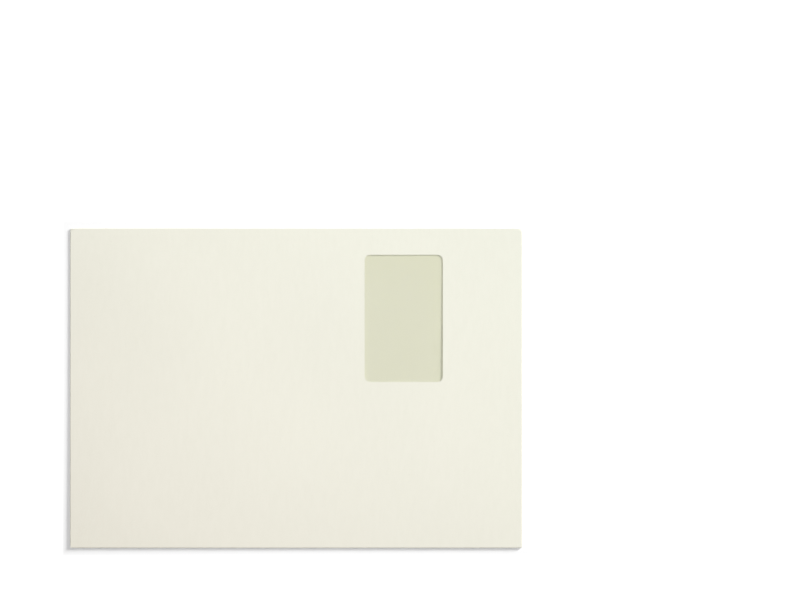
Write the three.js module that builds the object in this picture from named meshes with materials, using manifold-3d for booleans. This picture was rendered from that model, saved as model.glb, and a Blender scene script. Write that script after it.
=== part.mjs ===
// Pocket envelope with an address window, C4 size, lying on its back with the closure flap folded under.
// Millimetres, +Z up. +X points to the closure fold, +Y to the seam fold. The origin is on the surface that
// the envelope rests on, below the middle of its outline.
//
// The paper is one folded sheet: the face carries a fold on each of its four sides. One long fold leads to
// the back panel and the other to a narrow seam flap, glued to the inside of the back panel. One short fold
// leads to the bottom flap, glued outside the back panel, and the other to the closure flap, which lies
// folded over the back panel with the cover strip still on its adhesive.

import * as THREE from "three";
import Module from "manifold-3d";

const wasm = await Module();
wasm.setup();

// Outline and paper
const length = 324; // from the bottom fold to the closure fold
const width = 229; // from one long fold to the other
const paper = 0.16; // thickness of the sheet
const foldReach = 0.4; // how far the round of a fold reaches outwards
const seamRoom = 0.1; // free height between the seam flap and the face, at the seam fold
const plainRise = 0.5; // how much higher the face lies at the plain long fold than at the seam fold
const crown = 0.5; // rise of the middle of the face over its edges
const backCrown = 0.52; // rise of the middle of the back panel
const squareness = 4; // the power by which both rises fall off towards the edges
const backSquareness = 12; // the same along the back panel, where the rise ends close to the flaps below it

// Window
const windowShort = 56; // along X
const windowLong = 91; // along Y
const windowCorner = 4.5; // length of a corner's curve along each side
const windowToClosure = 57; // from the window to the closure fold
const windowToSeam = 19; // from the window to the seam fold
const film = 0.04; // thickness of the pane
const filmOverlap = 8; // how far the pane reaches past the window on each side
const filmGlue = 0.03; // thickness of the glue frame
const filmGlueInset = 1.5; // from the window to the glue frame
const filmGlueWidth = 5;

// Back panel and seam
const glue = 0.03; // thickness of the seam glue and of the bottom flap's glue
const seamFlap = 18; // from the seam fold to the flap's inner edge
const seamFlapTaper = 9; // how much shorter the inner edge is at each end
const seamGlueWidth = 10;
const seamGlueInset = 4; // from the flap's inner edge to the glue
const seamGlueEnd = 22; // from each short fold to the glue
const backEdgeInset = 0.9; // from the seam fold to the back panel's long edge
const throatDepth = 4; // from the closure fold to the back panel's edge
const throatCurve = 20; // length of the curved end of that edge, at the plain fold
const footDepth = 5; // from the bottom fold to the back panel's edge
const shoulder = 2.3; // length of the full-depth edge beside the plain fold
const earDepth = 3.1; // how far the back panel's corners at the seam reach past its edges
const earLength = 4; // from the seam fold to the slanted side of such a corner
const earSlant = 8; // length of that slanted side

// Bottom flap
const bottomFlap = 21; // from the bottom fold to the flap's edge, at the ends of that edge
const bottomFlapBow = 1.8; // how much further the edge reaches at its middle
const bottomFlapSlope = 0.5; // how far a slanted side moves in for each millimetre from the fold
const bottomFlapCorner = 5;
const bottomGlueWidth = 10;
const bottomGlueInset = 4; // from the glue to the flap's edge
const bottomGlueEnd = 5; // from the glue to the ends of the flap's edge

// Closure flap
const closureFlap = 49.5; // from the closure fold to the flap's free edge
const closureFlapSlope = 0.52;
const closureFlapCorner = 3;
const adhesive = 0.08; // thickness of the adhesive strip
const adhesiveWidth = 14;
const adhesiveInset = 4; // from the flap's free edge to the adhesive
const adhesiveEnd = 6; // from the ends of the flap's free edge to the adhesive
const liner = 0.07; // thickness of the cover strip
const linerWidth = 21.3;
const linerOverhang = 12.2; // how far the cover strip reaches past the ends of the free edge

// Fineness of the curved shapes
const faceCell = 14; // largest cell of the face's grid
const foldSteps = 8; // flats around each fold
const bowSteps = 10; // straight lengths along the bowed edge
const beyond = 5; // how far a cutting shape reaches past what it cuts

// Where the face ends and the round of each fold begins
const faceX = length / 2 - foldReach;
const faceY = width / 2 - foldReach;

// Undersides of the layers, from the surface up
const backAtFoot = paper + glue;
const backAtThroat = paper + adhesive + liner;
const faceAtSeam = seamFlapUnder(backAtThroat) + paper + seamRoom;

// The back panel lies on the bottom flap at one end and on the cover strip at the other.
const rampStart = -length / 2 + bottomFlap + bottomFlapBow;
const rampEnd = length / 2 - closureFlap;

// 1 in the middle of a span and 0 at its ends, which lie at -1 and 1
function bulge(across, power) {
  return 1 - Math.abs(across) ** power;
}

function backUnder(x, y) {
  const share = THREE.MathUtils.clamp((x - rampStart) / (rampEnd - rampStart), 0, 1);
  const rise = backCrown * bulge(2 * share - 1, backSquareness) * bulge(y / faceY, squareness);
  return THREE.MathUtils.lerp(backAtFoot, backAtThroat, share) + rise;
}

function seamFlapUnder(back) {
  return back + paper + glue;
}

// The face's underside along its borders, which rises faster and faster towards the plain fold
function faceEdge(y) {
  return faceAtSeam + plainRise * ((faceY - y) / (2 * faceY)) ** 2;
}

function faceUnder(x, y) {
  return faceEdge(y) + crown * bulge(x / faceX, squareness) * bulge(y / faceY, squareness);
}

// A closed sheet between an inner and an outer surface. place(i, j, side) gives a grid point on the inner
// surface, side 0, or on the outer one, side 1.
function sheet(columns, rows, place) {
  const points = [];
  const faces = [];
  const at = (i, j, side) => (side * rows + j) * columns + i;
  const quad = (a, b, c, d) => faces.push(a, b, c, a, c, d);
  for (let side = 0; side < 2; side++) {
    for (let j = 0; j < rows; j++) {
      for (let i = 0; i < columns; i++) {
        points.push(...place(i, j, side));
      }
    }
  }
  for (let j = 0; j + 1 < rows; j++) {
    for (let i = 0; i + 1 < columns; i++) {
      quad(at(i, j, 1), at(i + 1, j, 1), at(i + 1, j + 1, 1), at(i, j + 1, 1));
      quad(at(i, j, 0), at(i, j + 1, 0), at(i + 1, j + 1, 0), at(i + 1, j, 0));
    }
  }
  const lastRow = rows - 1;
  for (let i = 0; i + 1 < columns; i++) {
    quad(at(i, 0, 0), at(i + 1, 0, 0), at(i + 1, 0, 1), at(i, 0, 1));
    quad(at(i + 1, lastRow, 0), at(i, lastRow, 0), at(i, lastRow, 1), at(i + 1, lastRow, 1));
  }
  const lastColumn = columns - 1;
  for (let j = 0; j + 1 < rows; j++) {
    quad(at(0, j + 1, 0), at(0, j, 0), at(0, j, 1), at(0, j + 1, 1));
    quad(at(lastColumn, j, 0), at(lastColumn, j + 1, 0), at(lastColumn, j + 1, 1), at(lastColumn, j, 1));
  }
  const geometry = new THREE.BufferGeometry();
  geometry.setAttribute("position", new THREE.Float32BufferAttribute(points, 3));
  geometry.setIndex(faces);
  return geometry;
}

// A plate on grid lines along X and Y, with its underside at under(x, y).
function plate(xs, ys, under, thickness) {
  return sheet(xs.length, ys.length, (i, j, side) => [
    xs[i],
    ys[j],
    under(xs[i], ys[j]) + side * thickness,
  ]);
}

// Lines at the marks, with the stretches between them divided evenly.
function divided(marks, largest) {
  const lines = [marks[0]];
  for (let i = 0; i + 1 < marks.length; i++) {
    const steps = Math.ceil((marks[i + 1] - marks[i]) / largest);
    for (let k = 1; k <= steps; k++) {
      lines.push(THREE.MathUtils.lerp(marks[i], marks[i + 1], k / steps));
    }
  }
  return lines;
}

function sorted(...marks) {
  return marks.flat().sort((a, b) => a - b);
}

function within(lines, from, to) {
  return lines.filter((line) => line >= from && line <= to);
}

// The half-round section of a fold: how far out and how far up a point lies from the fold's middle. turn
// runs from 0, at the top, to 1, at the bottom.
function foldSection(turn, side, halfHeight) {
  const angle = Math.PI * (0.5 - turn);
  const inwards = (1 - side) * paper;
  return {
    out: (foldReach - inwards) * Math.cos(angle),
    up: (halfHeight - inwards) * Math.sin(angle),
  };
}

// A fold along X between the face and a layer whose underside is at lower(x, y). sign is its side of Y.
function longFold(sign, lower) {
  const top = faceEdge(sign * faceY) + paper;
  return sheet(backLinesX.length, foldSteps + 1, (i, j, side) => {
    const x = backLinesX[i];
    const low = lower(x, sign * faceY);
    const turn = sign > 0 ? j / foldSteps : 1 - j / foldSteps;
    const { out, up } = foldSection(turn, side, (top - low) / 2);
    return [x, sign * (faceY + out), (top + low) / 2 + up];
  });
}

// A fold along Y between the face and a flap that lies on the surface. sign is its side of X.
function shortFold(sign) {
  return sheet(foldSteps + 1, faceLinesY.length, (i, j, side) => {
    const y = faceLinesY[j];
    const top = faceEdge(y) + paper;
    const turn = sign > 0 ? i / foldSteps : 1 - i / foldSteps;
    const { out, up } = foldSection(turn, side, top / 2);
    return [sign * (faceX + out), y, top / 2 + up];
  });
}

function extruded(shape, bottom, top) {
  const depth = top - bottom;
  const geometry = new THREE.ExtrudeGeometry(shape, { depth, bevelEnabled: false, curveSegments: foldSteps });
  return geometry.translate(0, 0, bottom);
}

function block(x0, x1, y0, y1, z0, z1) {
  const geometry = new THREE.BoxGeometry(x1 - x0, y1 - y0, z1 - z0);
  return geometry.translate((x0 + x1) / 2, (y0 + y1) / 2, (z0 + z1) / 2);
}

// A shape with straight sides between its corners [x, y, radius], rounded where a radius is given.
function roundedShape(corners) {
  const shape = new THREE.Shape();
  corners.forEach(([x, y, radius = 0], i) => {
    const towards = ([otherX, otherY]) => {
      const step = new THREE.Vector2(otherX - x, otherY - y).setLength(radius);
      return [x + step.x, y + step.y];
    };
    const from = radius ? towards(corners.at(i - 1)) : [x, y];
    if (i) {
      shape.lineTo(...from);
    } else {
      shape.moveTo(...from);
    }
    if (radius) {
      shape.quadraticCurveTo(x, y, ...towards(corners[(i + 1) % corners.length]));
    }
  });
  return shape;
}

function solid(geometry) {
  const source = geometry.index ? geometry.toNonIndexed() : geometry;
  const position = source.getAttribute("position");
  const known = new Map();
  const points = [];
  const faces = [];
  for (let i = 0; i < position.count; i++) {
    const point = [position.getX(i), position.getY(i), position.getZ(i)];
    const key = point.join();
    if (!known.has(key)) {
      known.set(key, known.size);
      points.push(...point);
    }
    faces.push(known.get(key));
  }
  const mesh = new wasm.Mesh({
    numProp: 3,
    vertProperties: new Float32Array(points),
    triVerts: new Uint32Array(faces),
  });
  return new wasm.Manifold(mesh);
}

function geometryOf(made) {
  const { vertProperties, triVerts } = made.getMesh();
  const geometry = new THREE.BufferGeometry();
  geometry.setAttribute("position", new THREE.Float32BufferAttribute(vertProperties, 3));
  geometry.setIndex(new THREE.BufferAttribute(triVerts, 1));
  const flat = geometry.toNonIndexed();
  flat.computeVertexNormals();
  return flat;
}

// Window, pane and the pane's glue
const windowX = [length / 2 - windowToClosure - windowShort, length / 2 - windowToClosure];
const windowY = [width / 2 - windowToSeam - windowLong, width / 2 - windowToSeam];
const grown = ([from, to], by) => [from - by, to + by];
const paneX = grown(windowX, filmOverlap);
const paneY = grown(windowY, filmOverlap);
const frameX = grown(windowX, filmGlueInset + filmGlueWidth);
const frameY = grown(windowY, filmGlueInset + filmGlueWidth);
const holeX = grown(windowX, filmGlueInset);
const holeY = grown(windowY, filmGlueInset);

// The face's grid has lines at the borders of the pane and of its glue, so that all three lie flat together.
const faceLinesX = divided(sorted(-faceX, faceX, paneX, frameX, holeX), faceCell);
const faceLinesY = divided(sorted(-faceY, faceY, paneY, frameY, holeY), faceCell);

function facePlate(x, y, drop, thickness) {
  const under = (atX, atY) => faceUnder(atX, atY) - drop;
  return plate(within(faceLinesX, ...x), within(faceLinesY, ...y), under, thickness);
}

const windowCut = extruded(
  roundedShape([
    [windowX[0], windowY[0], windowCorner],
    [windowX[1], windowY[0], windowCorner],
    [windowX[1], windowY[1], windowCorner],
    [windowX[0], windowY[1], windowCorner],
  ]),
  0,
  faceEdge(-faceY) + crown + beyond,
);

function paneShape() {
  return solid(facePlate(paneX, paneY, filmGlue + film, film));
}

function paneGlueShape() {
  const hole = block(...holeX, ...holeY, 0, faceEdge(-faceY) + crown + beyond);
  return solid(facePlate(frameX, frameY, filmGlue, filmGlue)).subtract(solid(hole));
}

// Back panel. Its grid has lines at the borders of the seam flap and of the seam's glue.
const backEdgeY = width / 2 - backEdgeInset;
const seamFlapInner = width / 2 - seamFlap;
const seamGlueX = [-length / 2 + seamGlueEnd, length / 2 - seamGlueEnd];
const seamGlueY = [seamFlapInner + seamGlueInset, seamFlapInner + seamGlueInset + seamGlueWidth];
const backLinesX = divided(sorted(-faceX, faceX, rampStart, rampEnd, seamGlueX), faceCell);
const backLinesY = divided(sorted(-faceY, faceY, seamFlapInner, seamGlueY, backEdgeY), faceCell);

function backOutline() {
  const throatX = length / 2 - throatDepth;
  const footX = -length / 2 + footDepth;
  const plainY = -width / 2;
  const shoulderY = plainY + shoulder;
  const earY = width / 2 - earLength;
  const shape = new THREE.Shape();
  shape.moveTo(-faceX - beyond, plainY - beyond);
  shape.lineTo(faceX + beyond, plainY - beyond);
  shape.lineTo(faceX + beyond, shoulderY);
  shape.lineTo(faceX, shoulderY);
  shape.quadraticCurveTo(throatX, shoulderY, throatX, shoulderY + throatCurve);
  shape.lineTo(throatX, earY - earSlant);
  shape.lineTo(throatX + earDepth, earY);
  shape.lineTo(throatX + earDepth, backEdgeY + beyond);
  shape.lineTo(footX - earDepth, backEdgeY + beyond);
  shape.lineTo(footX - earDepth, earY);
  shape.lineTo(footX, earY - earSlant);
  shape.lineTo(footX, shoulderY + throatCurve);
  shape.quadraticCurveTo(footX, shoulderY, -faceX, shoulderY);
  shape.lineTo(-faceX - beyond, shoulderY);
  return shape;
}

function backPanel() {
  const lines = within(backLinesY, -faceY, backEdgeY);
  const whole = solid(plate(backLinesX, lines, backUnder, paper));
  return whole.intersect(solid(extruded(backOutline(), -beyond, beyond)));
}

// Seam flap and its glue
const seamUnder = (x, y) => seamFlapUnder(backUnder(x, y));

function seamFlapShape() {
  const whole = solid(plate(backLinesX, within(backLinesY, seamFlapInner, faceY), seamUnder, paper));
  const outline = roundedShape([
    [-faceX, faceY + beyond],
    [-faceX, faceY],
    [-faceX + seamFlapTaper, seamFlapInner],
    [-faceX + seamFlapTaper, seamFlapInner - beyond],
    [faceX - seamFlapTaper, seamFlapInner - beyond],
    [faceX - seamFlapTaper, seamFlapInner],
    [faceX, faceY],
    [faceX, faceY + beyond],
  ]);
  return whole.intersect(solid(extruded(outline, -beyond, beyond)));
}

function seamGlueShape() {
  const xs = within(backLinesX, ...seamGlueX);
  const ys = within(backLinesY, ...seamGlueY);
  return solid(plate(xs, ys, (x, y) => backUnder(x, y) + paper, glue));
}

// Bottom flap and its glue
const bottomEdgeX = -length / 2 + bottomFlap;
const bottomEdgeY = faceY - bottomFlapSlope * (bottomFlap - foldReach);

function bottomFlapShape() {
  const corners = [[-faceX, -faceY]];
  for (let i = 0; i <= bowSteps; i++) {
    const across = (2 * i) / bowSteps - 1;
    const radius = Math.abs(across) === 1 ? bottomFlapCorner : 0;
    corners.push([bottomEdgeX + bottomFlapBow * (1 - across ** 2), across * bottomEdgeY, radius]);
  }
  corners.push([-faceX, faceY]);
  return solid(extruded(roundedShape(corners), 0, paper));
}

function bottomGlueShape() {
  const edge = bottomEdgeX - bottomGlueInset;
  const end = bottomEdgeY - bottomGlueEnd;
  return solid(block(edge - bottomGlueWidth, edge, -end, end, paper, backAtFoot));
}

// Closure flap, its adhesive and the strip that covers it
const closureEdgeX = length / 2 - closureFlap;
const closureEdgeY = faceY - closureFlapSlope * (closureFlap - foldReach);

function closureFlapShape() {
  const outline = roundedShape([
    [faceX, -faceY],
    [faceX, faceY],
    [closureEdgeX, closureEdgeY, closureFlapCorner],
    [closureEdgeX, -closureEdgeY, closureFlapCorner],
  ]);
  return solid(extruded(outline, 0, paper));
}

function adhesiveShape() {
  const start = closureEdgeX + adhesiveInset;
  const end = closureEdgeY - adhesiveEnd;
  return solid(block(start, start + adhesiveWidth, -end, end, paper, paper + adhesive));
}

function linerShape() {
  const end = closureEdgeY + linerOverhang;
  const bottom = paper + adhesive;
  return solid(block(closureEdgeX, closureEdgeX + linerWidth, -end, end, bottom, bottom + liner));
}

function foldedPaper() {
  const face = solid(facePlate([-faceX, faceX], [-faceY, faceY], 0, paper)).subtract(solid(windowCut));
  const pieces = [
    solid(longFold(-1, backUnder)),
    solid(longFold(1, seamUnder)),
    solid(shortFold(-1)),
    solid(shortFold(1)),
    backPanel(),
    seamFlapShape(),
    bottomFlapShape(),
    closureFlapShape(),
  ];
  return pieces.reduce((whole, piece) => whole.add(piece), face);
}

function add(group, name, made, look) {
  const mesh = new THREE.Mesh(geometryOf(made), new THREE.MeshStandardMaterial(look));
  mesh.name = name;
  group.add(mesh);
}

const clearFilm = { color: "#f4f6f6", roughness: 0.1, opacity: 0.25, transparent: true };

const envelope = new THREE.Group();
envelope.name = "window_envelope";
add(envelope, "folded_paper", foldedPaper(), { color: "#f1efe2", roughness: 0.9 });
add(envelope, "window_film", paneShape(), clearFilm);
add(envelope, "window_glue", paneGlueShape(), { color: "#efe9d2", roughness: 0.5 });
add(envelope, "seam_glue", seamGlueShape(), { color: "#efe9d2", roughness: 0.5 });
add(envelope, "bottom_flap_glue", bottomGlueShape(), { color: "#efe9d2", roughness: 0.5 });
add(envelope, "flap_adhesive", adhesiveShape(), { color: "#e9e3c8", roughness: 0.4 });
add(envelope, "release_liner", linerShape(), { color: "#f2f0e3", roughness: 0.45 });

export default envelope;
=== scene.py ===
import math
import random

import bpy
import numpy as np
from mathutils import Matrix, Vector
from mathutils.geometry import delaunay_2d_cdt


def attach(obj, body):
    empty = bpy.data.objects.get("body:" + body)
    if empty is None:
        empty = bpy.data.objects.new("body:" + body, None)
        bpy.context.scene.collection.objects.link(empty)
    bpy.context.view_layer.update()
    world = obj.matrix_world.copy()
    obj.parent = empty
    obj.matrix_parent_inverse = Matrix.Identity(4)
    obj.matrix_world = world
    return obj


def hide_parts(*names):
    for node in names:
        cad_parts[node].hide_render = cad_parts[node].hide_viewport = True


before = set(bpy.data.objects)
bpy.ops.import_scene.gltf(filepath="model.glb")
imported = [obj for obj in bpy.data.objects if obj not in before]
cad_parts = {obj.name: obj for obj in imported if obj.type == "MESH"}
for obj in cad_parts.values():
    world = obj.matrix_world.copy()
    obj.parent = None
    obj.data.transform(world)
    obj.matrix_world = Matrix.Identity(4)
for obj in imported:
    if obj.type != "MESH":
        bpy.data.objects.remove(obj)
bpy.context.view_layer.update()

# The envelope's sizes are in millimetres and repeat the part's own. Its meshes are made in metres.
MM = 0.001

LENGTH = 324.0
WIDTH = 229.0
PAPER = 0.16
FOLD_REACH = 0.4
SEAM_ROOM = 0.1
PLAIN_RISE = 0.5
CROWN = 0.5
BACK_CROWN = 0.52
SQUARENESS = 4
BACK_SQUARENESS = 12

WINDOW_SHORT = 56.0
WINDOW_LONG = 91.0
WINDOW_CORNER = 4.5
WINDOW_TO_CLOSURE = 57.0
WINDOW_TO_SEAM = 19.0
FILM = 0.04
FILM_OVERLAP = 8.0
FILM_GLUE = 0.03
FILM_GLUE_INSET = 1.5
FILM_GLUE_WIDTH = 5.0

GLUE = 0.03
SEAM_FLAP = 18.0
SEAM_FLAP_TAPER = 9.0
SEAM_GLUE_WIDTH = 10.0
SEAM_GLUE_INSET = 4.0
SEAM_GLUE_END = 22.0
BACK_EDGE_INSET = 0.9
THROAT_DEPTH = 4.0
THROAT_CURVE = 20.0
FOOT_DEPTH = 5.0
SHOULDER = 2.3
EAR_DEPTH = 3.1
EAR_LENGTH = 4.0
EAR_SLANT = 8.0

BOTTOM_FLAP = 21.0
BOTTOM_FLAP_BOW = 1.8
BOTTOM_FLAP_SLOPE = 0.5
BOTTOM_FLAP_CORNER = 5.0
BOTTOM_GLUE_WIDTH = 10.0
BOTTOM_GLUE_INSET = 4.0
BOTTOM_GLUE_END = 5.0

CLOSURE_FLAP = 49.5
CLOSURE_FLAP_SLOPE = 0.52
CLOSURE_FLAP_CORNER = 3.0
ADHESIVE = 0.08
ADHESIVE_WIDTH = 14.0
ADHESIVE_INSET = 4.0
ADHESIVE_END = 6.0
LINER = 0.07
LINER_WIDTH = 21.3
LINER_OVERHANG = 12.2

FACE_X = LENGTH / 2 - FOLD_REACH
FACE_Y = WIDTH / 2 - FOLD_REACH
BACK_AT_FOOT = PAPER + GLUE
BACK_AT_THROAT = PAPER + ADHESIVE + LINER
FACE_AT_SEAM = BACK_AT_THROAT + PAPER + GLUE + PAPER + SEAM_ROOM
RAMP_START = -LENGTH / 2 + BOTTOM_FLAP + BOTTOM_FLAP_BOW
RAMP_END = LENGTH / 2 - CLOSURE_FLAP

WINDOW_X = (LENGTH / 2 - WINDOW_TO_CLOSURE - WINDOW_SHORT, LENGTH / 2 - WINDOW_TO_CLOSURE)
WINDOW_Y = (WIDTH / 2 - WINDOW_TO_SEAM - WINDOW_LONG, WIDTH / 2 - WINDOW_TO_SEAM)

# The sheet is first laid out flat. Each fold is a band there, wider than the real round, so that its
# triangles stay well shaped.
BAND = 24.0
BAND_ROWS = 12
SEAT = 0.5  # from a fold to the first line beside it, so that the shading of the fold stays in the fold
PINCH_LENGTH = 5.0  # along which a fold narrows towards the envelope's corner
PINCHED_REACH = 0.08

# How finely the shapes are divided
CELL = 3.0
GLUE_CELL = 2.5
ADHESIVE_CELL = 3.5
LONG_CELL = 5.0
EDGE_STEP = 2.5
CURVE_STEPS = 12
CORNER_STEPS = 8
BOW_STEPS = 10
BORDER_ROOM = 0.45 * CELL / 2  # kept free between a border and the nearest point inside it
SAME_PLACES = 4  # decimals of a millimetre that two points share when they count as one
NEARLY = 1e-5  # the distance within which the triangulation joins points
ROUNDING = 1e-6  # the part of a step by which a side may be longer without being split once more
SHARP_ANGLE = math.radians(35)

# The paper's two surfaces, as the share of its thickness that lies below them when its outside is up
INNER = 0
OUTER = 1

# The paper's looks, in the order that folded_sheet takes them
OUTSIDE_LOOK = 0
INSIDE_LOOK = 1

# Slow waves of the face
WAVE_COUNT = 6
WAVE_HEIGHT = 0.05
WAVELENGTHS = (70, 170)

random.seed(11)
# Each wave is a direction, a wavelength and a phase.
WAVES = [
    (random.uniform(0, math.pi), random.uniform(*WAVELENGTHS), random.uniform(0, 2 * math.pi))
    for _ in range(WAVE_COUNT)
]


def clamped(share):
    return min(max(share, 0.0), 1.0)


def smooth(share):
    share = clamped(share)
    return share * share * (3 - 2 * share)


def bulge(across, power):
    """1 in the middle of a span and 0 at its ends, which lie at -1 and 1."""
    return 1 - abs(across) ** power


# Where the folded paper lies. Each panel's underside has a height for every x and y.

def back_under(x, y):
    share = clamped((x - RAMP_START) / (RAMP_END - RAMP_START))
    rise = BACK_CROWN * bulge(2 * share - 1, BACK_SQUARENESS) * bulge(y / FACE_Y, SQUARENESS)
    return BACK_AT_FOOT + (BACK_AT_THROAT - BACK_AT_FOOT) * share + rise


def seam_flap_under(x, y):
    return back_under(x, y) + PAPER + GLUE


def face_edge(y):
    return FACE_AT_SEAM + PLAIN_RISE * ((FACE_Y - y) / (2 * FACE_Y)) ** 2


def face_under(x, y):
    inside = bulge(x / FACE_X, SQUARENESS) * bulge(y / FACE_Y, SQUARENESS)
    wave = sum(
        WAVE_HEIGHT * math.sin(2 * math.pi * (x * math.cos(turn) + y * math.sin(turn)) / period + phase)
        for turn, period, phase in WAVES
    )
    return face_edge(y) + (CROWN + wave) * inside


def fold_point(turn, side, half_height, reach):
    """How far out and up a fold's point lies, from its upper end, turn 0, to its lower end, turn 1."""
    angle = math.pi * (0.5 - turn)
    inwards = 0.0 if side == OUTER else PAPER
    return (reach - inwards) * math.cos(angle), (half_height - inwards) * math.sin(angle)


def fold_reach(to_end):
    return PINCHED_REACH + (FOLD_REACH - PINCHED_REACH) * math.sqrt(smooth(to_end / PINCH_LENGTH))


def place(s, t, side):
    """The point in space of a point of the flat layout, on the inner or the outer surface."""
    over_x = abs(s) - FACE_X
    over_y = abs(t) - FACE_Y
    if over_x <= 0 and over_y <= 0:
        return s, t, face_under(s, t) + side * PAPER
    if over_y > 0:
        sign = math.copysign(1.0, t)
        lower = seam_flap_under if t > 0 else back_under
        if over_y <= BAND:
            low = lower(s, sign * FACE_Y)
            top = face_edge(sign * FACE_Y) + PAPER
            out, up = fold_point(over_y / BAND, side, (top - low) / 2, fold_reach(FACE_X - abs(s)))
            return s, sign * (FACE_Y + out), (top + low) / 2 + up
        y = sign * (FACE_Y - (over_y - BAND))
        return s, y, lower(s, y) + (1 - side) * PAPER
    sign = math.copysign(1.0, s)
    if over_x <= BAND:
        top = face_edge(t) + PAPER
        out, up = fold_point(over_x / BAND, side, top / 2, fold_reach(FACE_Y - abs(t)))
        return sign * (FACE_X + out), t, top / 2 + up
    return sign * (FACE_X - (over_x - BAND)), t, (1 - side) * PAPER


# Outlines

def curve(start, control, end, steps):
    """Points of a quadratic curve, without its start."""
    points = []
    for i in range(1, steps + 1):
        k = i / steps
        first = (1 - k) ** 2
        middle = 2 * k * (1 - k)
        last = k * k
        points.append(tuple(first * a + middle * c + last * b for a, c, b in zip(start, control, end)))
    return points


def rounded(corners):
    """A closed outline through corners (x, y, radius), rounded as the part's own shapes are."""
    points = []
    for i, (x, y, radius) in enumerate(corners):
        if not radius:
            points.append((x, y))
            continue
        ends = []
        for other in (corners[i - 1], corners[(i + 1) % len(corners)]):
            step = Vector((other[0] - x, other[1] - y)).normalized() * radius
            ends.append((x + step.x, y + step.y))
        points.append(ends[0])
        points.extend(curve(ends[0], (x, y), ends[1], CORNER_STEPS))
    return points


def divided(points, step):
    """The closed outline with long sides split, so that none is longer than step."""
    out = []
    for (ax, ay), (bx, by) in zip(points, points[1:] + points[:1]):
        steps = max(1, math.ceil(math.hypot(bx - ax, by - ay) / step - ROUNDING))
        out.extend((ax + (bx - ax) * k / steps, ay + (by - ay) * k / steps) for k in range(steps))
    return out


def back_outline():
    """The back panel's free border in X and Y, from the plain fold's closure end to its bottom end."""
    throat = LENGTH / 2 - THROAT_DEPTH
    foot = -LENGTH / 2 + FOOT_DEPTH
    shoulder = -WIDTH / 2 + SHOULDER
    curve_end = shoulder + THROAT_CURVE
    free_edge = WIDTH / 2 - BACK_EDGE_INSET
    ear = WIDTH / 2 - EAR_LENGTH
    points = [(FACE_X, -FACE_Y), (FACE_X, shoulder)]
    points += curve((FACE_X, shoulder), (throat, shoulder), (throat, curve_end), CURVE_STEPS)
    points += [(throat, ear - EAR_SLANT), (throat + EAR_DEPTH, ear), (throat + EAR_DEPTH, free_edge)]
    points += [(foot - EAR_DEPTH, free_edge), (foot - EAR_DEPTH, ear), (foot, ear - EAR_SLANT)]
    points.append((foot, curve_end))
    points += curve((foot, curve_end), (foot, shoulder), (-FACE_X, shoulder), CURVE_STEPS)
    points.append((-FACE_X, -FACE_Y))
    return points


def flap_outline(depth, slope, radius, bow):
    """A short side's flap from one end of its fold to the other: distances from the fold, and Y."""
    deep = depth - FOLD_REACH
    half = FACE_Y - slope * deep
    corners = [(0.0, -FACE_Y, 0.0)]
    steps = BOW_STEPS if bow else 1
    for i in range(steps + 1):
        across = 2 * i / steps - 1
        corner = radius if abs(across) == 1 else 0.0
        corners.append((deep + bow * bulge(across, 2), across * half, corner))
    corners.append((0.0, FACE_Y, 0.0))
    return rounded(corners)


def layout_outline():
    """The flat layout's outline, counter-clockwise."""
    below = FACE_Y + BAND
    beside = FACE_X + BAND
    points = []
    # Back panel, below the face, from its bottom end to its closure end
    points.append((-FACE_X, -FACE_Y))
    points += [(x, -below - (y + FACE_Y)) for x, y in reversed(back_outline())]
    # Closure flap, right of the face
    points.append((FACE_X, -FACE_Y))
    right = flap_outline(CLOSURE_FLAP, CLOSURE_FLAP_SLOPE, CLOSURE_FLAP_CORNER, 0.0)
    points += [(beside + deep, y) for deep, y in right]
    # Seam flap, above the face
    points.append((FACE_X, FACE_Y))
    seam = SEAM_FLAP - FOLD_REACH
    points += [(FACE_X, below), (FACE_X - SEAM_FLAP_TAPER, below + seam)]
    points += [(-FACE_X + SEAM_FLAP_TAPER, below + seam), (-FACE_X, below)]
    # Bottom flap, left of the face
    points.append((-FACE_X, FACE_Y))
    left = flap_outline(BOTTOM_FLAP, BOTTOM_FLAP_SLOPE, BOTTOM_FLAP_CORNER, BOTTOM_FLAP_BOW)
    points += [(-beside - deep, y) for deep, y in reversed(left)]
    return points


def window_outline():
    x0, x1 = WINDOW_X
    y0, y1 = WINDOW_Y
    corners = [(x0, y0), (x1, y0), (x1, y1), (x0, y1)]
    return rounded([(x, y, WINDOW_CORNER) for x, y in corners])


# Meshes

def inside_of(points, outline):
    """Which points lie inside the outline, by counting the sides that a line to the right crosses."""
    inside = np.zeros(len(points), bool)
    x = points[:, 0]
    y = points[:, 1]
    for (ax, ay), (bx, by) in zip(outline, outline[1:] + outline[:1]):
        if ay == by:
            continue
        crosses = (ay > y) != (by > y)
        inside ^= crosses & (x < ax + (y - ay) * (bx - ax) / (by - ay))
    return inside


def distance_to(points, sides):
    """The distance from each point to the nearest of the sides, an array of start and end points."""
    nearest = np.full(len(points), np.inf)
    for a, b in sides:
        along = b - a
        share = np.clip((points - a) @ along / (along @ along), 0, 1)
        nearest = np.minimum(nearest, np.linalg.norm(points - a - share[:, None] * along, axis=1))
    return nearest


def even_lines(start, end, cell):
    """Places from start to end, evenly spaced and at most a cell apart."""
    return list(np.linspace(start, end, math.ceil((end - start) / cell) + 1))


def marked_lines(marks, cell):
    """The same through all the marks."""
    marks = sorted(marks)
    lines = [marks[0]]
    for a, b in zip(marks, marks[1:]):
        lines += even_lines(a, b, cell)[1:]
    return lines


def fold_rows(start, sign, depth):
    """Lines across one side of the layout: the fold's band, and the panel beyond it."""
    rows = [start + BAND * k / BAND_ROWS for k in range(1, BAND_ROWS + 1)]
    rows += even_lines(rows[-1], rows[-1] + depth, CELL)[1:]
    return [sign * row for row in rows]


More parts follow.
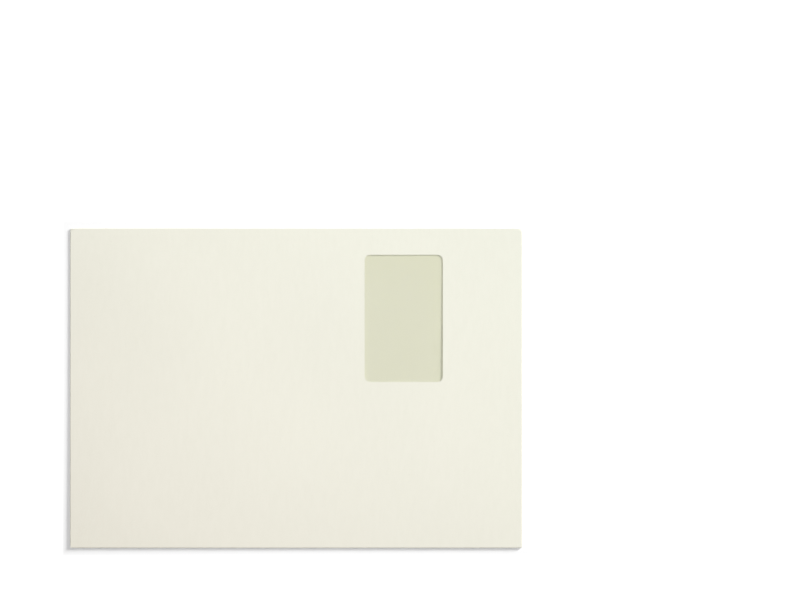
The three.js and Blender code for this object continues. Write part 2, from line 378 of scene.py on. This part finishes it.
def flat_layout():
    """Points and triangles of the flat layout."""
    outline = divided(layout_outline(), EDGE_STEP)
    hole = divided(window_outline(), EDGE_STEP)
    known = {}
    points = []
    edges = set()

    def number(x, y):
        key = (round(x, SAME_PLACES), round(y, SAME_PLACES))
        if key not in known:
            known[key] = len(points)
            points.append((x, y))
        return known[key]

    def chain(line):
        numbers = [number(x, y) for x, y in line]
        for a, b in zip(numbers, numbers[1:]):
            if a != b:
                edges.add((min(a, b), max(a, b)))

    chain([*outline, outline[0]])
    chain([*hole, hole[0]])
    columns = even_lines(-FACE_X, FACE_X, CELL)
    lines = even_lines(-FACE_Y, FACE_Y, CELL)
    inner_columns = columns[1:-1]
    inner_lines = lines[1:-1]
    for sign in (-1, 1):
        for offset in (0.0, BAND):
            chain([(x, sign * (FACE_Y + offset)) for x in columns])
            chain([(sign * (FACE_X + offset), y) for y in lines])
        for offset in (-SEAT, BAND + SEAT):
            chain([(x, sign * (FACE_Y + offset)) for x in inner_columns])
            chain([(sign * (FACE_X + offset), y) for y in inner_lines])

    grid = [(x, y) for x in inner_columns for y in inner_lines]
    for sign, depth in ((-1, WIDTH), (1, SEAM_FLAP)):
        grid += [(x, y) for x in inner_columns for y in fold_rows(FACE_Y, sign, depth)]
    for sign, depth in ((-1, BOTTOM_FLAP + BOTTOM_FLAP_BOW), (1, CLOSURE_FLAP)):
        grid += [(x, y) for x in fold_rows(FACE_X, sign, depth) for y in inner_lines]
    spots = np.array(grid)
    sides = np.array([(points[a], points[b]) for a, b in edges])
    on_sheet = inside_of(spots, outline) & ~inside_of(spots, hole)
    for x, y in spots[on_sheet & (distance_to(spots, sides) > BORDER_ROOM)]:
        number(x, y)

    result = delaunay_2d_cdt([Vector(p) for p in points], list(edges), [], 0, NEARLY)
    flat = np.array([tuple(p) for p in result[0]])
    triangles = np.array([tuple(face) for face in result[2]])
    middles = flat[triangles].mean(axis=1)
    kept = triangles[inside_of(middles, outline) & ~inside_of(middles, hole)]
    used, numbers = np.unique(kept, return_inverse=True)
    return flat[used], numbers.reshape(-1, 3).tolist()


def finished(name, points, faces, looks, looks_of):
    """A mesh object in metres, with flat shading only where two faces meet at a clear angle."""
    mesh = bpy.data.meshes.new(name)
    mesh.from_pydata([(x * MM, y * MM, z * MM) for x, y, z in points], [], faces)
    for look in looks:
        mesh.materials.append(look)
    mesh.polygons.foreach_set("material_index", looks_of)
    mesh.update()
    mesh.shade_smooth()
    mesh.set_sharp_from_angle(angle=SHARP_ANGLE)
    piece = bpy.data.objects.new(name, mesh)
    bpy.context.scene.collection.objects.link(piece)
    return piece


def border_of(faces):
    """The directed edges of the faces that no other face shares, in a fixed order."""
    directed = set()
    for face in faces:
        for a, b in zip(face, (*face[1:], face[0])):
            directed.add((a, b))
    return sorted((a, b) for a, b in directed if (b, a) not in directed)


def underside(faces, count):
    """The same faces seen from below, where the lower points come count later than the upper ones."""
    return [tuple(i + count for i in reversed(face)) for face in faces]


def rim(faces, count):
    return [(b, a, a + count, b + count) for a, b in border_of(faces)]


def folded_sheet(looks):
    """The folded paper: its outer surface, its inner surface and the cut edges between them."""
    flat, triangles = flat_layout()
    points = [place(s, t, side) for side in (OUTER, INNER) for s, t in flat]
    outer = []
    for a, b, c in triangles:
        (ax, ay), (bx, by), (cx, cy) = flat[a], flat[b], flat[c]
        clockwise = (bx - ax) * (cy - ay) - (by - ay) * (cx - ax) < 0
        outer.append((a, c, b) if clockwise else (a, b, c))
    inner = underside(outer, len(flat))
    cut = rim(outer, len(flat))
    looks_of = [OUTSIDE_LOOK] * len(outer) + [INSIDE_LOOK] * len(inner) + [OUTSIDE_LOOK] * len(cut)
    return finished("envelope_sheet", points, outer + inner + cut, looks, looks_of)


def layer(name, xs, ys, under, thickness, look, keep=None):
    """A closed thin layer of the grid's cells that keep allows, with its underside at under(x, y)."""
    columns = len(xs)
    count = columns * len(ys)
    points = [(x, y, under(x, y) + up) for up in (thickness, 0.0) for y in ys for x in xs]
    top = []
    for j in range(len(ys) - 1):
        for i in range(columns - 1):
            middle = ((xs[i] + xs[i + 1]) / 2, (ys[j] + ys[j + 1]) / 2)
            if keep is None or keep(*middle):
                a = j * columns + i
                top.append((a, a + 1, a + 1 + columns, a + columns))
    faces = top + underside(top, count) + rim(top, count)
    used = sorted({i for face in faces for i in face})
    renumber = {old: new for new, old in enumerate(used)}
    faces = [tuple(renumber[i] for i in face) for face in faces]
    return finished(name, [points[i] for i in used], faces, [look], [0] * len(faces))


# Materials

WHITE = (1, 1, 1, 1)
GREY = (0.5, 0.5, 0.5, 1)
BLACK = (0, 0, 0, 1)

# Painted light and shade, as factors on the paper's colour: dim and warm towards the corner by the bottom
# and plain folds, lit and green at the opposite corner, from where the key lamp shines
CORNER_PAINTED_SHADE = (0.955, 0.939, 0.932, 1.0)
WARM_PAINTED_SHADE = (0.996, 0.9855, 0.985, 1.0)
GREEN_PAINTED_LIGHT = (0.968, 1.007, 1.0, 1.0)
# Where the warm painted shade sits, from the dim corner at 0 to the lit one at 1
WARM_SHADE_PLACE = 0.15

# The liner's printed bars, in metres: the steps along and across their rows, and the gap round each
BAR_STEP = 0.0042
BAR_ROW = 0.006
BAR_GAP = 0.00155
INK_STRENGTH = 0.6

# How much of the film shows: seen straight on, and at a grazing angle
FILM_ALPHA = (0.012, 0.4)


def material(name):
    look = bpy.data.materials.new(name)
    look.use_nodes = True
    nodes = look.node_tree.nodes
    shader = nodes["Principled BSDF"]
    return look, nodes, look.node_tree.links, shader


def linear(red, green, blue):
    """A colour written as 0 to 255, as the render shows it, for a shader."""
    def channel(value):
        value /= 255
        return value / 12.92 if value <= 0.04045 else ((value + 0.055) / 1.055) ** 2.4
    return channel(red), channel(green), channel(blue), 1.0


def set_values(node, values):
    for name, value in values.items():
        node.inputs[name].default_value = value


def feed(links, value, socket):
    """Links another node's output to the socket, or sets it to a plain value."""
    if isinstance(value, bpy.types.NodeSocket):
        links.new(value, socket)
    else:
        socket.default_value = value


def position(nodes, links, scale=(1, 1, 1), turn=0.0, shift=(0, 0, 0)):
    """The place on the object, in metres. A scale below 1 draws a pattern out along that axis."""
    source = nodes.new("ShaderNodeTexCoord")
    mapping = nodes.new("ShaderNodeMapping")
    set_values(mapping, {"Scale": scale, "Rotation": (0, 0, turn), "Location": shift})
    links.new(source.outputs["Object"], mapping.inputs["Vector"])
    return mapping.outputs["Vector"]


def noise(nodes, links, where, scale, detail=3.0, roughness=0.5):
    node = nodes.new("ShaderNodeTexNoise")
    set_values(node, {"Scale": scale, "Detail": detail, "Roughness": roughness})
    links.new(where, node.inputs["Vector"])
    return node.outputs["Fac"]


def ramp(nodes, links, value, low, high, at=(0.35, 0.65), between=()):
    """The colour for a value: low up to the first of the two places, high from the second on."""
    node = nodes.new("ShaderNodeValToRGB")
    for element, stop, colour in zip(node.color_ramp.elements, at, (low, high)):
        element.position = stop
        element.color = colour
    for stop, colour in between:
        node.color_ramp.elements.new(stop).color = colour
    links.new(value, node.inputs["Fac"])
    return node.outputs["Color"]


def mixed(nodes, links, share, first, second, blend="MIX"):
    node = nodes.new("ShaderNodeMix")
    node.data_type = "RGBA"
    node.blend_type = blend
    # Of the node's many sockets, these are the ones that mix colours.
    for value, socket in ((share, node.inputs[0]), (first, node.inputs[6]), (second, node.inputs[7])):
        feed(links, value, socket)
    return node.outputs[2]


def maths(nodes, links, operation, *values):
    node = nodes.new("ShaderNodeMath")
    node.operation = operation
    for value, socket in zip(values, node.inputs):
        feed(links, value, socket)
    return node.outputs["Value"]


def spread(nodes, links, value, to_span, from_span=(0.0, 1.0)):
    """A value of from_span, moved to the same share of to_span."""
    node = nodes.new("ShaderNodeMapRange")
    set_values(node, {"From Min": from_span[0], "From Max": from_span[1]})
    set_values(node, {"To Min": to_span[0], "To Max": to_span[1]})
    links.new(value, node.inputs["Value"])
    return node.outputs["Result"]


def bumped(nodes, links, shader, height, strength, distance):
    node = nodes.new("ShaderNodeBump")
    set_values(node, {"Strength": strength, "Distance": distance})
    links.new(height, node.inputs["Height"])
    links.new(node.outputs["Normal"], shader.inputs["Normal"])


def painted_light_drift(nodes, links):
    """Where the painted light and shade fall: 0 at the corner by the bottom and plain folds, 1 at the
    opposite corner, half at the other two.
    """
    span = 2 * LENGTH * WIDTH / math.hypot(LENGTH, WIDTH) * MM
    turn = -math.atan2(LENGTH, WIDTH)
    along = nodes.new("ShaderNodeTexGradient")
    where = position(nodes, links, (1 / span, 1 / span, 1), turn, shift=(0.5, 0, 0))
    links.new(where, along.inputs["Vector"])
    return along.outputs["Fac"]


def paper_colour(nodes, links, light, dark):
    """Uncoated paper: cloudy formation, fine fibres along the grain, and sparse darker fibres, with painted
    shade darkening it towards one corner and painted light at the other.
    """
    grain = position(nodes, links, (1.0, 0.3, 1.0))
    cloud = noise(nodes, links, grain, scale=330.0, detail=4.0, roughness=0.6)
    base = ramp(nodes, links, cloud, dark, light)
    # Painted light and shade: the paper darker and warmer towards one corner, lighter and greener towards
    # the opposite one
    warm_shade_stop = [(WARM_SHADE_PLACE, WARM_PAINTED_SHADE)]
    painted_light_tone = ramp(nodes, links, painted_light_drift(nodes, links), CORNER_PAINTED_SHADE, GREEN_PAINTED_LIGHT, at=(0.0, 1.0), between=warm_shade_stop)
    base = mixed(nodes, links, 1.0, base, painted_light_tone, "MULTIPLY")
    fibre = noise(nodes, links, grain, scale=3200.0, detail=2.0)
    base = mixed(nodes, links, ramp(nodes, links, fibre, BLACK, GREY), base, light)
    across = position(nodes, links, (0.35, 1.0, 1.0))
    dark_fibre = noise(nodes, links, across, scale=2100.0, detail=1.0)
    mask = ramp(nodes, links, dark_fibre, BLACK, GREY, at=(0.74, 0.82))
    return mixed(nodes, links, mask, base, linear(226, 220, 202))


def paper_look(name, light, dark, tint=None):
    """Paper, with a printed tint of fine dots where one is given."""
    look, nodes, links, shader = material(name)
    colour = paper_colour(nodes, links, light, dark)
    if tint:
        dots = nodes.new("ShaderNodeTexVoronoi")
        set_values(dots, {"Scale": 1900.0, "Randomness": 0.55})
        links.new(position(nodes, links), dots.inputs["Vector"])
        screen = ramp(nodes, links, dots.outputs["Distance"], WHITE, GREY, at=(0.34, 0.46))
        colour = mixed(nodes, links, screen, colour, tint)
    links.new(colour, shader.inputs["Base Color"])
    set_values(shader, {"Roughness": 0.85, "Specular IOR Level": 0.25})
    grain = position(nodes, links, (1.0, 0.6, 1.0))
    tooth = noise(nodes, links, grain, scale=1800.0, detail=4.0, roughness=0.6)
    bumped(nodes, links, shader, tooth, strength=0.35, distance=0.00002)
    return look


def clear_film():
    """Clear film, faintly hazy and wrinkled, which shows more where it is seen at a grazing angle."""
    look, nodes, links, shader = material("clear_film")
    haze = noise(nodes, links, position(nodes, links), scale=90.0)
    colour = ramp(nodes, links, haze, linear(236, 237, 226), linear(243, 244, 236))
    links.new(colour, shader.inputs["Base Color"])
    set_values(shader, {"Roughness": 0.08, "IOR": 1.5})
    facing = nodes.new("ShaderNodeLayerWeight")
    set_values(facing, {"Blend": 0.12})
    links.new(spread(nodes, links, facing.outputs["Fresnel"], FILM_ALPHA), shader.inputs["Alpha"])
    wrinkle = noise(nodes, links, position(nodes, links, (1.0, 0.25, 1.0)), scale=50.0, detail=1.0)
    bumped(nodes, links, shader, wrinkle, strength=0.15, distance=0.0002)
    return look


def glue_look(name, light, dark, roughness):
    look, nodes, links, shader = material(name)
    streak = noise(nodes, links, position(nodes, links, (0.3, 1.0, 1.0)), scale=420.0)
    links.new(ramp(nodes, links, streak, light, dark), shader.inputs["Base Color"])
    set_values(shader, {"Roughness": roughness})
    bumped(nodes, links, shader, streak, strength=0.3, distance=0.00003)
    return look


def liner_look():
    """Coated paper with rows of small plain bars."""
    look, nodes, links, shader = material("liner_paper")
    cloud = noise(nodes, links, position(nodes, links), scale=300.0)
    base = ramp(nodes, links, cloud, linear(238, 236, 222), linear(243, 241, 228))
    bars = nodes.new("ShaderNodeTexBrick")
    bars.offset = 0.5
    set_values(bars, {"Color1": WHITE, "Color2": WHITE, "Mortar": BLACK})
    set_values(bars, {"Brick Width": BAR_STEP, "Row Height": BAR_ROW, "Scale": 1.0})
    set_values(bars, {"Mortar Size": BAR_GAP, "Mortar Smooth": 0.1})
    links.new(position(nodes, links, turn=math.radians(90)), bars.inputs["Vector"])
    ink = maths(nodes, links, "MULTIPLY", bars.outputs["Color"], INK_STRENGTH)
    links.new(mixed(nodes, links, ink, base, linear(150, 150, 172)), shader.inputs["Base Color"])
    set_values(shader, {"Roughness": 0.45})
    bumped(nodes, links, shader, cloud, strength=0.15, distance=0.00002)
    return look


paper_out = paper_look("cream_paper", linear(241.6, 239.0, 225.7), linear(239.7, 237.1, 223.5))
paper_in = paper_look(
    "tinted_paper",
    linear(241.8, 239.3, 226.2),
    linear(239.9, 237.4, 224.0),
    tint=linear(234.3, 234.7, 203.4),
)
film_look = clear_film()
window_glue_look = glue_look("window_glue", linear(238, 235, 218), linear(231, 227, 208), 0.45)
seam_glue_look = glue_look("seam_glue", linear(236, 231, 208), linear(228, 222, 196), 0.5)
adhesive_look = glue_look("adhesive", linear(232, 226, 200), linear(222, 214, 184), 0.35)
liner = liner_look()

# Pieces

def keep_piece(piece, node):
    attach(piece, "root")
    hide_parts(node)


def grown(span, by):
    return span[0] - by, span[1] + by


keep_piece(folded_sheet([paper_out, paper_in]), "folded_paper")

pane = layer(
    "window_pane",
    even_lines(*grown(WINDOW_X, FILM_OVERLAP), CELL),
    even_lines(*grown(WINDOW_Y, FILM_OVERLAP), CELL),
    lambda x, y: face_under(x, y) - FILM_GLUE - FILM,
    FILM,
    film_look,
)
keep_piece(pane, "window_film")

hole_x = grown(WINDOW_X, FILM_GLUE_INSET)
hole_y = grown(WINDOW_Y, FILM_GLUE_INSET)
frame_x = grown(WINDOW_X, FILM_GLUE_INSET + FILM_GLUE_WIDTH)
frame_y = grown(WINDOW_Y, FILM_GLUE_INSET + FILM_GLUE_WIDTH)
pane_glue = layer(
    "pane_glue",
    marked_lines([*hole_x, *frame_x], GLUE_CELL),
    marked_lines([*hole_y, *frame_y], GLUE_CELL),
    lambda x, y: face_under(x, y) - FILM_GLUE,
    FILM_GLUE,
    window_glue_look,
    lambda x, y: not (hole_x[0] < x < hole_x[1] and hole_y[0] < y < hole_y[1]),
)
keep_piece(pane_glue, "window_glue")

seam_inner = WIDTH / 2 - SEAM_FLAP + SEAM_GLUE_INSET
seam_end = LENGTH / 2 - SEAM_GLUE_END
seam_glue = layer(
    "seam_glue_line",
    marked_lines([-seam_end, RAMP_START, RAMP_END, seam_end], LONG_CELL),
    even_lines(seam_inner, seam_inner + SEAM_GLUE_WIDTH, GLUE_CELL),
    lambda x, y: back_under(x, y) + PAPER,
    GLUE,
    seam_glue_look,
)
keep_piece(seam_glue, "seam_glue")

bottom_edge = -LENGTH / 2 + BOTTOM_FLAP - BOTTOM_GLUE_INSET
bottom_end = FACE_Y - BOTTOM_FLAP_SLOPE * (BOTTOM_FLAP - FOLD_REACH) - BOTTOM_GLUE_END
bottom_glue = layer(
    "bottom_glue_line",
    even_lines(bottom_edge - BOTTOM_GLUE_WIDTH, bottom_edge, GLUE_CELL),
    even_lines(-bottom_end, bottom_end, LONG_CELL),
    lambda x, y: PAPER,
    GLUE,
    seam_glue_look,
)
keep_piece(bottom_glue, "bottom_flap_glue")

closure_edge = LENGTH / 2 - CLOSURE_FLAP
closure_end = FACE_Y - CLOSURE_FLAP_SLOPE * (CLOSURE_FLAP - FOLD_REACH)
adhesive_start = closure_edge + ADHESIVE_INSET
adhesive = layer(
    "adhesive_strip",
    even_lines(adhesive_start, adhesive_start + ADHESIVE_WIDTH, ADHESIVE_CELL),
    even_lines(-closure_end + ADHESIVE_END, closure_end - ADHESIVE_END, LONG_CELL),
    lambda x, y: PAPER,
    ADHESIVE,
    adhesive_look,
)
keep_piece(adhesive, "flap_adhesive")

liner_end = closure_end + LINER_OVERHANG
cover = layer(
    "cover_strip",
    even_lines(closure_edge, closure_edge + LINER_WIDTH, CELL),
    even_lines(-liner_end, liner_end, CELL),
    lambda x, y: PAPER + ADHESIVE,
    LINER,
    liner,
)
keep_piece(cover, "release_liner")

# Floor and lights, with sizes and distances in metres

FLOOR_SIZE = 6.0
FLOOR_DROP = 0.00002  # below the envelope, so that the two surfaces don't coincide
FLOOR_COLOUR = (0.94, 0.94, 0.94, 1)
# The floor's own white near the envelope and far from it, which only the camera and mirrors see
FLOOR_LIFT = (0.09, 1.0)
# The distances from the envelope's sides between which that white grows
FLOOR_LIFT_REACH = (0.0045, 0.0177)
# The world's strength as a light, and as the camera and mirrors see it
WORLD_LEVEL = (0.155, 1.0)


def seen_directly(nodes, links):
    """1 for rays from the camera, from a mirror or through a pane, and 0 for the light itself."""
    path = nodes.new("ShaderNodeLightPath")
    share = path.outputs["Is Camera Ray"]
    for other in ("Is Glossy Ray", "Is Transmission Ray"):
        share = maths(nodes, links, "MAXIMUM", share, path.outputs[other])
    return share


def floor_look():
    look, nodes, links, shader = material("floor")
    set_values(shader, {"Base Color": FLOOR_COLOUR, "Emission Color": WHITE})
    set_values(shader, {"Roughness": 1.0, "Specular IOR Level": 0.0})
    parts = nodes.new("ShaderNodeSeparateXYZ")
    links.new(position(nodes, links), parts.inputs["Vector"])
    past = []
    for axis, half in (("X", LENGTH / 2 * MM), ("Y", WIDTH / 2 * MM)):
        size = maths(nodes, links, "ABSOLUTE", parts.outputs[axis])
        past.append(maths(nodes, links, "SUBTRACT", size, half))
    away = maths(nodes, links, "MAXIMUM", *past)
    own = spread(nodes, links, away, FLOOR_LIFT, FLOOR_LIFT_REACH)
    lift = maths(nodes, links, "MULTIPLY", seen_directly(nodes, links), own)
    links.new(lift, shader.inputs["Emission Strength"])
    return look


half_floor = FLOOR_SIZE / 2
floor_corners = [(x * half_floor, y * half_floor, 0) for x, y in ((-1, -1), (1, -1), (1, 1), (-1, 1))]
floor_mesh = bpy.data.meshes.new("floor")
floor_mesh.from_pydata(floor_corners, [], [(0, 1, 2, 3)])
floor_mesh.materials.append(floor_look())
floor = bpy.data.objects.new("floor", floor_mesh)
floor.location.z = -FLOOR_DROP
bpy.context.scene.collection.objects.link(floor)

world = bpy.data.worlds.new("studio")
world.use_nodes = True
bpy.context.scene.world = world
world_nodes = world.node_tree.nodes
world_links = world.node_tree.links
sky = world_nodes["Background"]
set_values(sky, {"Color": WHITE})
level = spread(world_nodes, world_links, seen_directly(world_nodes, world_links), WORLD_LEVEL)
world_links.new(level, sky.inputs["Strength"])


def area_light(name, turn, tilt, distance, size, power):
    """A square white lamp, at a turn from +X towards +Y and a tilt above the floor, facing the envelope."""
    lamp = bpy.data.lights.new(name, "AREA")
    lamp.shape = "SQUARE"
    lamp.size = size
    lamp.energy = power
    turn = math.radians(turn)
    tilt = math.radians(tilt)
    away = Vector((math.cos(turn) * math.cos(tilt), math.sin(turn) * math.cos(tilt), math.sin(tilt)))
    holder = bpy.data.objects.new(name, lamp)
    holder.location = away * distance
    holder.rotation_euler = away.to_track_quat("Z", "Y").to_euler()
    holder.visible_camera = False
    bpy.context.scene.collection.objects.link(holder)


area_light("key", turn=34, tilt=18.5, distance=5.0, size=1.4, power=368)
area_light("overhead", turn=98, tilt=86.1, distance=0.802, size=0.4, power=2.6)

# The camera looks straight down, with the envelope's middle at the pixel where the photograph has it.
SENSOR = 36.0
LENS = 100.0
VIEW_DEPTH = 50.0  # in metres
PIXELS_PER_MM = 1.3955
FRAME_PIXELS = (800, 600)
ENVELOPE_PIXEL = (296.3, 388.1)
view_width = FRAME_PIXELS[0] / PIXELS_PER_MM
camera_height = view_width * LENS / SENSOR
camera = bpy.data.cameras.new("camera")
camera.lens = LENS
camera.sensor_width = SENSOR
camera.clip_end = VIEW_DEPTH
viewer = bpy.data.objects.new("camera", camera)
viewer.location = (
    (FRAME_PIXELS[0] / 2 - ENVELOPE_PIXEL[0]) / PIXELS_PER_MM * MM,
    (ENVELOPE_PIXEL[1] - FRAME_PIXELS[1] / 2) / PIXELS_PER_MM * MM,
    camera_height * MM,
)
bpy.context.scene.collection.objects.link(viewer)
bpy.context.scene.camera = viewer
bpy.context.scene.view_settings.view_transform = "Standard"
